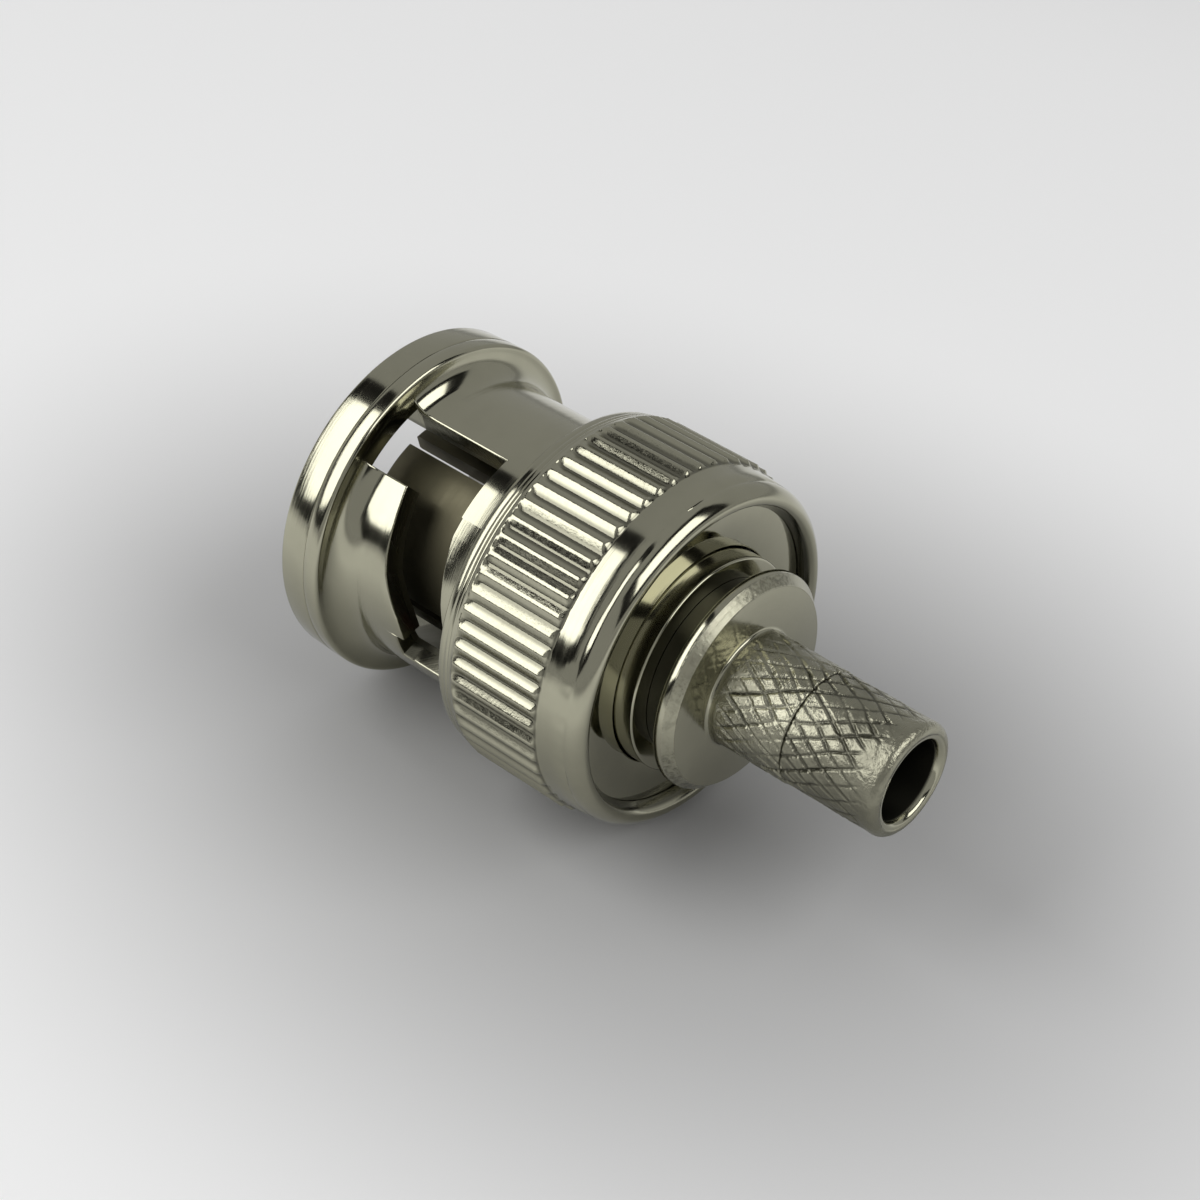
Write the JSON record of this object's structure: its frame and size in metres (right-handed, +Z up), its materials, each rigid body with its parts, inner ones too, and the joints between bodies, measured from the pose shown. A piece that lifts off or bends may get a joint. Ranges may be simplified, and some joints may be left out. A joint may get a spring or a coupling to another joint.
{
  "type": "bnc connector",
  "caption": "Round bayonet cable plug with a knurled coupling nut that turns on a sprung body, and a hollow crimp barrel.",
  "frame": {"origin": "on the plug's axis, at the coupling nut's front face, which is the mating end", "axes": "+X along the axis towards the cable end, +Z up with the plug lying on its side"},
  "size_m": [0.0247, 0.0146, 0.0146],
  "materials": {
    "nickel_plate": "bright nickel plate on turned brass",
    "gold_plate": "gold plate",
    "spring_steel": "bright rolled strip",
    "ptfe": "white, slightly waxy",
    "silicone": "red-brown, satin"
  },
  "bodies": {
    "plug": {"plug_body": "nickel_plate", "crimp_stem": "nickel_plate", "gasket": "silicone", "insulator": "ptfe", "centre_contact": "gold_plate", "bowed_spring_1": "spring_steel", "bowed_spring_2": "spring_steel"},
    "washer": {"retaining_washer": "nickel_plate"},
    "nut": {"coupling_nut": "nickel_plate"}
  },
  "joints": [
    {"name": "nut_draw", "type": "slide", "parent": "plug", "child": "washer", "axis": [-1, 0, 0], "range_m": [0, 0.0009], "stiffness_N_per_m": 6000, "springref_m": -0.0005, "deforming": ["bowed_spring_1", "bowed_spring_2"]},
    {"name": "nut_turn", "type": "hinge", "parent": "washer", "child": "nut", "pos_m": [0.0143, 0, 0], "axis": [1, 0, 0], "continuous": true}
  ]
}
